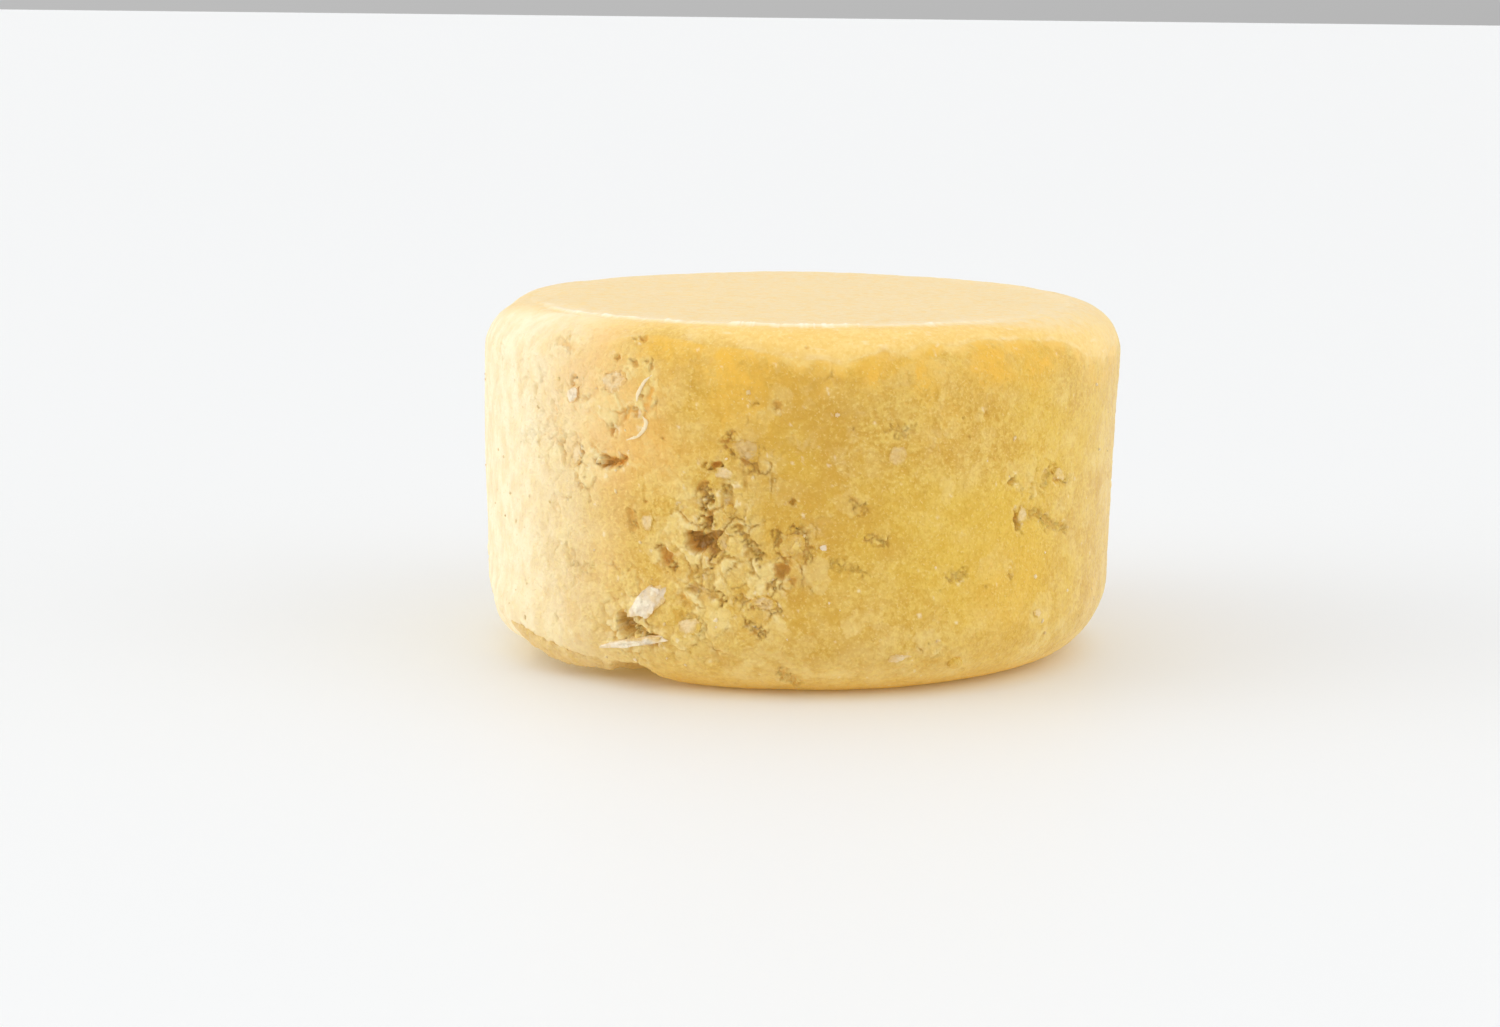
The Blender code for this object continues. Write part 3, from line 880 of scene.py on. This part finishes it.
def make_ridge(node, piece, route, wide, tall, lean, sunk, weak_at, seed, slot, tint, whiteness):
    """A bead of soap standing along a route: thin at its ends, leaning across, uneven along its length."""
    samples, sides = 90, 20
    places = smooth_route(route, samples)
    rings = []
    for i, (bearing, height) in enumerate(places):
        axes, point = side_axes(bearing, height)
        turn = np.array(math.radians(bearing))
        point = point + axes[:, 2] * lumpiness(turn, length_at(height), point)
        before, after = places[max(i - 1, 0)], places[min(i + 1, samples - 1)]
        run = np.array([math.radians(after[0] - before[0]) * TOP_RADIUS, after[1] - before[1]])
        run /= np.linalg.norm(run)
        side = axes[:, 0] * run[1] - axes[:, 1] * run[0]
        along = i / (samples - 1)
        size = math.sin(math.pi * np.clip(along, 0.02, 0.98)) ** 0.55
        size *= 0.05 + 0.95 * smooth(0.03, 0.22, abs(along - weak_at))
        angle = np.linspace(0, 2 * math.pi, sides, endpoint=False)
        rise = np.sin(angle) * tall * size
        across = np.cos(angle) * wide * size + lean * rise
        ring = point + across[:, None] * side + (rise - sunk)[:, None] * axes[:, 2]
        rings.append(ring)
    rings = np.array(rings)
    middle = rings.mean(1, keepdims=True)
    swell = 1 + 0.30 * fractal(rings, 0.8, seed) + 0.16 * fractal(rings, 0.3, seed + 5)
    rings = middle + (rings - middle) * swell[..., None]
    looks = np.zeros(rings.shape[:2] + (len(LOOKS),))
    looks[..., LOOKS.index("tone")] = 0.5 + 0.4 * fractal(rings, 1.0, seed + 9)
    looks[..., LOOKS.index("pale")] = tint
    looks[..., LOOKS.index("white")] = whiteness
    return register(grid_mesh(piece, rings, looks), slot, node)


def make_crumbs():
    """Tiny loose chips all round the side, thickest in the crumbly stretches."""
    random = np.random.default_rng(17)
    bearing = random.uniform(-math.pi, math.pi, CRUMB_TRIES)
    height = random.uniform(1.5, HEIGHT - 5, CRUMB_TRIES)
    length = length_at(height)
    plain, normals = on_surface(bearing, length)
    keep = random.uniform(0, 1, CRUMB_TRIES) < 0.10 + 0.9 * crumbliness(bearing, length, plain) ** 2
    bearing, length, normals = bearing[keep], length[keep], normals[keep]
    surface, cake_looks = cake_surface(bearing, length)
    outside = cake_looks[:, LOOKS.index("hollow_shade")] < 0.3
    unit, faces = ball(2)
    points, triangles, looks = [], [], []
    for place, normal in zip(surface[outside], normals[outside]):
        size = random.uniform(0.07, 0.20) * random.uniform(0.7, 1.4, 3)
        jitter = 1 + 0.35 * random.uniform(-1, 1, len(unit))
        spin = Euler((0, 0, random.uniform(0, 6.28))).to_quaternion()
        turn = Vector(normal).to_track_quat("Z", "Y") @ spin
        shaped = (unit * jitter[:, None] * size * [1, 1, 0.6]) @ np.array(turn.to_matrix()).T
        triangles.append(faces + len(unit) * len(points))
        points.append(shaped + place)
        look = [0, random.uniform(0.3, 1), random.uniform(0.3, 1), 0, 0, random.uniform(0, 0.5), 0, 0]
        looks.append(np.tile(look, (len(unit), 1)))
    obj = mesh_object("surface_crumbs", np.vstack(points), [np.vstack(triangles)], np.vstack(looks))
    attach(obj, "root")
    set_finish(obj, "soap_pale")
    return obj


# ---------------- materials


class Graph:
    """Short ways to add nodes to one node tree."""

    def __init__(self, tree):
        self.tree = tree
        self.coordinates = self.add("ShaderNodeTexCoord").outputs
        self.place = self.coordinates["Object"]

    def add(self, kind, **settings):
        node = self.tree.nodes.new(kind)
        for name, value in settings.items():
            setattr(node, name, value)
        return node

    def link(self, start, end):
        self.tree.links.new(start, end)

    def put(self, socket, value):
        if isinstance(value, bpy.types.NodeSocket):
            self.link(value, socket)
        else:
            socket.default_value = value

    def noise(self, size_mm, detail=3.0, stretch=(1, 1, 1), distortion=0.0):
        place = self.place
        if stretch != (1, 1, 1):
            mapping = self.add("ShaderNodeMapping")
            mapping.inputs["Scale"].default_value = stretch
            self.link(self.place, mapping.inputs["Vector"])
            place = mapping.outputs["Vector"]
        node = self.add("ShaderNodeTexNoise")
        node.inputs["Scale"].default_value = 1000 / size_mm
        node.inputs["Detail"].default_value = detail
        node.inputs["Distortion"].default_value = distortion
        self.link(place, node.inputs["Vector"])
        return node.outputs["Fac"]

    def grains(self, size_mm):
        node = self.add("ShaderNodeTexVoronoi")
        node.inputs["Scale"].default_value = 1000 / size_mm
        self.link(self.place, node.inputs["Vector"])
        return node

    def spread(self, value, low, high, to_low=0.0, to_high=1.0):
        node = self.add("ShaderNodeMapRange", interpolation_type="SMOOTHSTEP")
        node.inputs["From Min"].default_value = low
        node.inputs["From Max"].default_value = high
        node.inputs["To Min"].default_value = to_low
        node.inputs["To Max"].default_value = to_high
        self.link(value, node.inputs["Value"])
        return node.outputs["Result"]

    def split(self, colour):
        node = self.add("ShaderNodeSeparateColor")
        self.link(colour, node.inputs["Color"])
        return node.outputs

    def math(self, operation, first, second):
        node = self.add("ShaderNodeMath", operation=operation)
        self.put(node.inputs[0], first)
        self.put(node.inputs[1], second)
        return node.outputs[0]

    def mix(self, share, first, second):
        node = self.add("ShaderNodeMix", data_type="RGBA")
        self.put(node.inputs["Factor"], share)
        self.put(node.inputs["A"], first)
        self.put(node.inputs["B"], second)
        return node.outputs["Result"]


def linear(red, green, blue):
    """A display colour from 0 to 255 as the shader's linear colour."""
    def one(value):
        value /= 255
        return value / 12.92 if value <= 0.04045 else ((value + 0.055) / 1.055) ** 2.4
    return (one(red), one(green), one(blue), 1.0)


# Display colours, from 0 to 255
BODY_DEEP = (207, 160, 65)
BODY_LIGHT = (228, 195, 103)
PEACHY = (242, 188, 108)
LEMON = (232, 196, 74)
# The next colour is a painted highlight: the pale wash where strong light falls on the sides.
PAINTED_SIDE_GLARE = (251, 239, 206)
NEAR_WHITE = (253, 245, 222)
# The next three colours paint shade in pits, seams, cracks and cavities, darkest deep in the cavities; the
# first also colours small dots all over.
PIT = (230, 172, 82)
PIT_OLIVE = (208, 165, 80)
DEEP_HOLLOW_SHADE = (158, 112, 52)
# The next colour paints the soap's clear golden patches, the shade under the skin's lip and the glow along
# the foot.
GOLD = (237, 187, 76)
SKIN_DEEP = (239, 200, 114)
SKIN_LIGHT = (245, 213, 136)

# The share of light that comes through the waxy soap from its lit sides, which keeps its hollows warm
LIGHT_THROUGH = 0.055
LIGHT_THROUGH_DOWNWARDS = 0.16

# What every soap has alike: how it bends, scatters and mirrors light, and the tint of the light through it
SOAP_SETTINGS = {
    "IOR": 1.46,
    "Subsurface Radius": (1.0, 0.85, 0.50),
    "Subsurface Scale": 0.0007,
    "Specular IOR Level": 0.25,
    "Specular Tint": (1.0, 0.88, 0.62, 1.0),
    "Emission Color": (1.0, 0.62, 0.16, 1.0),
}


def soap_material(name, deep, light, pale, roughness, glow, bump, streaked):
    """Waxy soap: mottled grains of two tones, then what each point's looks say, and a fine gritty bump."""
    material = bpy.data.materials.new(name)
    material.use_nodes = True
    shader = material.node_tree.nodes["Principled BSDF"]
    g = Graph(material.node_tree)
    masks = g.add("ShaderNodeAttribute", attribute_name="masks")
    tints = g.add("ShaderNodeAttribute", attribute_name="tints")
    hollow_shade, tone, pale_mask = g.split(masks.outputs["Color"])
    hue, white, painted_side_glare = g.split(tints.outputs["Color"])
    skin = tints.outputs["Alpha"]
    stretch = (1, 1, 3) if streaked else (1, 1, 1)
    cloud = g.noise(2.2, 4.0, stretch)
    speck = g.noise(0.50, 3.0)
    fine = g.noise(0.24, 2.0)
    grain_tone = g.split(g.grains(0.4).outputs["Color"])[0]
    mottle = g.math("MULTIPLY", cloud, 0.5)
    for part, amount in ((speck, 0.9), (fine, 0.6), (grain_tone, 0.3), (tone, 0.5)):
        mottle = g.math("ADD", mottle, g.math("MULTIPLY", part, amount))
    mottled = g.spread(mottle, 1.05, 1.75)
    colour = g.mix(mottled, linear(*deep), linear(*light))
    colour = g.mix(skin, colour, g.mix(mottled, linear(*SKIN_DEEP), linear(*SKIN_LIGHT)))
    golden = g.math("MULTIPLY", masks.outputs["Alpha"], g.spread(cloud, 0.2, 0.5))
    paling = g.math("MULTIPLY", pale_mask, g.spread(g.noise(1.1, 4.0), 0.30, 0.60, 0.35, 1.0))
    streaks = g.noise(1.5, 4.0, (1, 1, 0.6))
    # painted highlight on the sides, in soft streaks
    painted_side_glare_share = g.math("MULTIPLY", painted_side_glare, g.spread(streaks, 0.32, 0.64, 0.68, 0.98))
    dots = g.noise(0.42, 2.0, distortion=0.6)
    layers = (
        (g.spread(hue, 0.0, 1.0, 0.0, 0.6), PEACHY),
        (g.spread(hue, 0.0, -1.0, 0.0, 0.5), LEMON),
        (golden, GOLD),
        (paling, pale),
        (painted_side_glare_share, PAINTED_SIDE_GLARE),
        (g.spread(fine, 0.59, 0.72, 0.0, 0.42), pale),
        (g.spread(dots, 0.38, 0.26, 0.0, 0.22), PIT),
    )
    for share, over in layers:
        colour = g.mix(share, colour, linear(*over))
    # painted shade in the hollows, darkest deep in the cavities
    hollow_shade_colour = g.mix(g.spread(hue, 0.20, -0.30), linear(*PIT), linear(*PIT_OLIVE))
    colour = g.mix(g.spread(hollow_shade, 0.0, 0.75), colour, hollow_shade_colour)
    colour = g.mix(g.spread(hollow_shade, 0.70, 1.0, 0.0, 0.75), colour, linear(*DEEP_HOLLOW_SHADE))
    colour = g.mix(white, colour, linear(*NEAR_WHITE))
    g.link(colour, shader.inputs["Base Color"])
    facing = g.add("ShaderNodeSeparateXYZ")
    g.link(g.add("ShaderNodeNewGeometry").outputs["Normal"], facing.inputs["Vector"])
    glowing = g.spread(facing.outputs["Z"], -0.30, -0.95, LIGHT_THROUGH, LIGHT_THROUGH_DOWNWARDS)
    g.link(glowing, shader.inputs["Emission Strength"])
    g.link(g.spread(speck, 0.25, 0.75, roughness - 0.14, roughness + 0.14), shader.inputs["Roughness"])
    shader.inputs["Subsurface Weight"].default_value = glow
    for setting, value in SOAP_SETTINGS.items():
        shader.inputs[setting].default_value = value
    grit = g.math("ADD", g.math("MULTIPLY", fine, 0.6), g.math("MULTIPLY", speck, 0.8))
    rough_bump = g.add("ShaderNodeBump")
    g.link(g.spread(skin, 0.0, 1.0, bump, bump * 0.18), rough_bump.inputs["Strength"])
    rough_bump.inputs["Distance"].default_value = 0.00025
    g.link(grit, rough_bump.inputs["Height"])
    g.link(rough_bump.outputs["Normal"], shader.inputs["Normal"])
    return material


# The soap of each material slot: name, deep, light and pale tones, roughness, glow, bump, whether streaked
SOAPS = {
    "soap_body": ("yellow_soap", BODY_DEEP, BODY_LIGHT, (240, 216, 146), 0.50, 0.15, 0.85, False),
    "soap_skin": ("skin_soap", BODY_DEEP, BODY_LIGHT, (241, 217, 167), 0.42, 0.15, 0.85, True),
    "soap_pale": ("pale_soap", BODY_DEEP, BODY_LIGHT, (236, 211, 164), 0.48, 0.05, 1.0, False),
    "soap_white": ("white_soap", (222, 186, 118), (236, 208, 150), (234, 220, 200), 0.55, 0.05, 1.0, False),
    "soap_amber": ("translucent_soap", BODY_DEEP, BODY_LIGHT, (214, 186, 138), 0.42, 0.05, 0.8, False),
}


# ---------------- pieces in their CAD places

# node, piece, half width, half height, half depth, turn, roughness, chips, how proud, slot, paleness
GRAINS = (
    ("white_flake", "white_flake_chunk", 3.2, 1.45, 1.2, 43, 0.35, 9, 0.25, "soap_white", 0.9),
    # The torn sliver's whiteness is partly a painted highlight along the torn edge above the notch in the
    # foot.
    ("torn_sliver", "torn_white_sliver", 3.9, 0.42, 0.9, 12, 0.40, 4, 0.30, "soap_white", 1.0),
    ("upper_left_chip", "upper_left_white_chip", 1.0, 0.75, 0.9, 60, 0.40, 6, 0.20, "soap_white", 0.7),
    ("upper_left_grain", "upper_left_clear_grain", 1.6, 1.35, 1.0, 0, 0.30, 6, 0.05, "soap_pale", 1.0),
    ("slot_flake", "flake_by_slot", 1.4, 0.8, 0.9, 75, 0.35, 6, 0.05, "soap_pale", 0.8),
    ("middle_left_grain", "middle_left_pale_grain", 0.8, 1.0, 0.9, 0, 0.25, 5, 0.08, "soap_pale", 0.8),
    ("lower_left_grain", "lower_left_pale_grain", 1.3, 1.0, 0.9, 15, 0.30, 6, 0.03, "soap_pale", 0.9),
    ("grey_grain", "grey_clear_grain", 1.6, 1.2, 1.0, -20, 0.40, 6, 0.02, "soap_amber", 0.6),
    ("crack_grain", "grain_in_crack", 1.0, 0.75, 0.8, 0, 0.30, 6, 0.06, "soap_pale", 0.9),
    ("overhang_crumb", "overhanging_crumb", 1.0, 0.7, 0.9, 35, 0.35, 6, 0.08, "soap_body", 0.2),
    ("cavity_grain", "grain_in_cavity", 0.95, 1.0, 1.2, 0, 0.30, 6, -0.40, "soap_amber", 0.8),
    ("nugget", "cracked_nugget", 1.4, 1.2, 1.1, 10, 0.25, 6, 0.05, "soap_body", 0.2),
    ("lower_front_grain", "lower_front_pale_grain", 1.3, 0.9, 0.9, -15, 0.30, 6, 0.03, "soap_pale", 0.7),
    ("white_speck", "small_white_speck", 0.42, 0.32, 0.6, 0, 0.35, 4, 0.12, "soap_white", 0.9),
    ("round_grain", "rounded_clear_grain", 1.0, 1.0, 0.9, 0, 0.15, 4, 0.04, "soap_pale", 0.6),
    ("right_socket_grain", "grain_in_right_socket", 0.8, 0.9, 0.9, 25, 0.30, 5, 0.05, "soap_pale", 0.8),
    ("right_upper_grain", "right_upper_pale_grain", 1.2, 0.6, 0.9, -25, 0.35, 6, 0.05, "soap_pale", 0.8),
    ("lower_right_chip", "lower_right_white_chip", 0.7, 0.5, 0.8, -10, 0.40, 5, 0.05, "soap_pale", 0.9),
    ("foot_crumb", "crumb_on_foot", 0.9, 0.7, 0.9, 0, 0.35, 5, 0.40, "soap_body", 0.3),
    ("foot_cluster_crumb", "white_crumb_on_foot", 1.1, 0.5, 0.8, 5, 0.50, 6, 0.08, "soap_white", 0.3),
)

# How far each grain's middle lies below the surface, as a share of its half depth
GRAIN_SINK = 0.25

# The curl's and the lip's routes: bearing, height
CURL_ROUTE = (
    (-25.3, 30.9), (-27.0, 30.0), (-28.2, 28.4), (-27.2, 27.0),
    (-26.4, 26.2), (-27.8, 25.1), (-30.2, 24.5),
)
LIP_ROUTE = ((-63, 4.6), (-57, 3.6), (-52, 2.9), (-47, 2.4), (-42, 2.1), (-38, 2.3))

# node, piece, route, half width, height, lean, how sunk, where along it is weak (0 to 1, or none at 2),
# seed, slot, paleness, whiteness
RIDGES = (
    ("peeled_curl", "peeled_skin_curl", CURL_ROUTE, 0.27, 0.26, -0.7, 0.06, 0.45, 701, "soap_skin", 0.5, 0.5),
    ("edge_lip", "smeared_foot_lip", LIP_ROUTE, 1.5, 0.62, -0.7, 0.20, 2.0, 711, "soap_pale", 0.4, 0.1),
)


def make_object():
    """Every piece, each with the soap of its slot."""
    materials = {slot: soap_material(*soap) for slot, soap in SOAPS.items()}
    made = [
        register(make_cake(), "soap_body", "puck_body"),
        register(make_skin(), "soap_skin", "top_skin"),
        *(make_ridge(*ridge) for ridge in RIDGES),
        make_crumbs(),
    ]
    for seed, (*settings, slot, tint) in enumerate(GRAINS, start=801):
        made.append(make_grain(*settings, seed, slot, tint))
    for piece in made:
        piece.data.materials.append(materials[piece["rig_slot"]])


# ---------------- floor, light and camera


FLOOR_SIZE = 12.0
FLOOR_COLOUR = (0.88, 0.89, 0.895, 1.0)
FLOOR_ROUGHNESS = 0.55


def make_floor():
    """A plain, pale table."""
    bpy.ops.mesh.primitive_plane_add(size=FLOOR_SIZE, location=(0, 0, 0))
    floor = bpy.context.object
    floor.name = "floor"
    material = bpy.data.materials.new("white_table")
    material.use_nodes = True
    shader = material.node_tree.nodes["Principled BSDF"]
    shader.inputs["Base Color"].default_value = FLOOR_COLOUR
    shader.inputs["Roughness"].default_value = FLOOR_ROUGHNESS
    floor.data.materials.append(material)


# How bright the surroundings are: in the middle, and how much more towards +X, +Y and up
SURROUNDINGS = 0.365
SURROUNDINGS_SLOPE = (-0.08, 0.13, 0.655)

# Soft glows in the surroundings: a low window on the left and a weaker one on the right.
# Where each is seen, how bright and how narrow it is
WINDOWS = (
    ((-0.96, -0.22, 0.15), 2.8, 8.0),
    ((0.93, -0.28, 0.22), 1.50, 4.0),
)


def make_world():
    """Soft white surroundings, brighter behind and to the left, with a glow where each window is."""
    world = bpy.data.worlds.new("studio")
    bpy.context.scene.world = world
    world.use_nodes = True
    g = Graph(world.node_tree)

    def towards(vector):
        node = g.add("ShaderNodeVectorMath", operation="DOT_PRODUCT")
        node.inputs[1].default_value = vector
        g.link(g.coordinates["Generated"], node.inputs[0])
        return node.outputs["Value"]

    total = g.math("ADD", towards(SURROUNDINGS_SLOPE), SURROUNDINGS)
    for place, strength, narrowness in WINDOWS:
        seen = g.math("MAXIMUM", towards(Vector(place).normalized()), 0.0)
        glow = g.math("MULTIPLY", g.math("POWER", seen, narrowness), strength)
        total = g.math("ADD", glow, total)
    background = world.node_tree.nodes["Background"]
    g.link(total, background.inputs["Strength"])
    background.inputs["Color"].default_value = (1.0, 1.0, 1.0, 1.0)


def make_camera():
    """Seen from just above the top, the puck right of and above the middle of the picture."""
    data = bpy.data.cameras.new("camera")
    data.lens = LENS
    data.sensor_width = SENSOR
    data.clip_start = 0.01
    data.clip_end = 50
    camera = bpy.data.objects.new("camera", data)
    bpy.context.scene.collection.objects.link(camera)
    up = math.sin(CAMERA_ELEVATION)
    back = Vector((0, -math.cos(CAMERA_ELEVATION), up))
    facing = Matrix.Rotation(math.pi / 2 - CAMERA_ELEVATION, 4, "X")
    roll = Matrix.Rotation(CAMERA_ROLL, 4, "Z")
    pan = Matrix.Rotation(math.atan(PUCK_RIGHT_OF_CENTRE * SENSOR / LENS), 4, "Y")
    tilt = Matrix.Rotation(-math.atan(PUCK_ABOVE_CENTRE * SENSOR / LENS), 4, "X")
    middle = Vector((0, 0, HEIGHT * MM / 2))
    camera.matrix_world = Matrix.Translation(middle + back * CAMERA_DISTANCE) @ facing @ roll @ pan @ tilt
    bpy.context.scene.camera = camera


make_object()
make_floor()
make_world()
make_camera()
bpy.context.scene.view_settings.view_transform = "Standard"
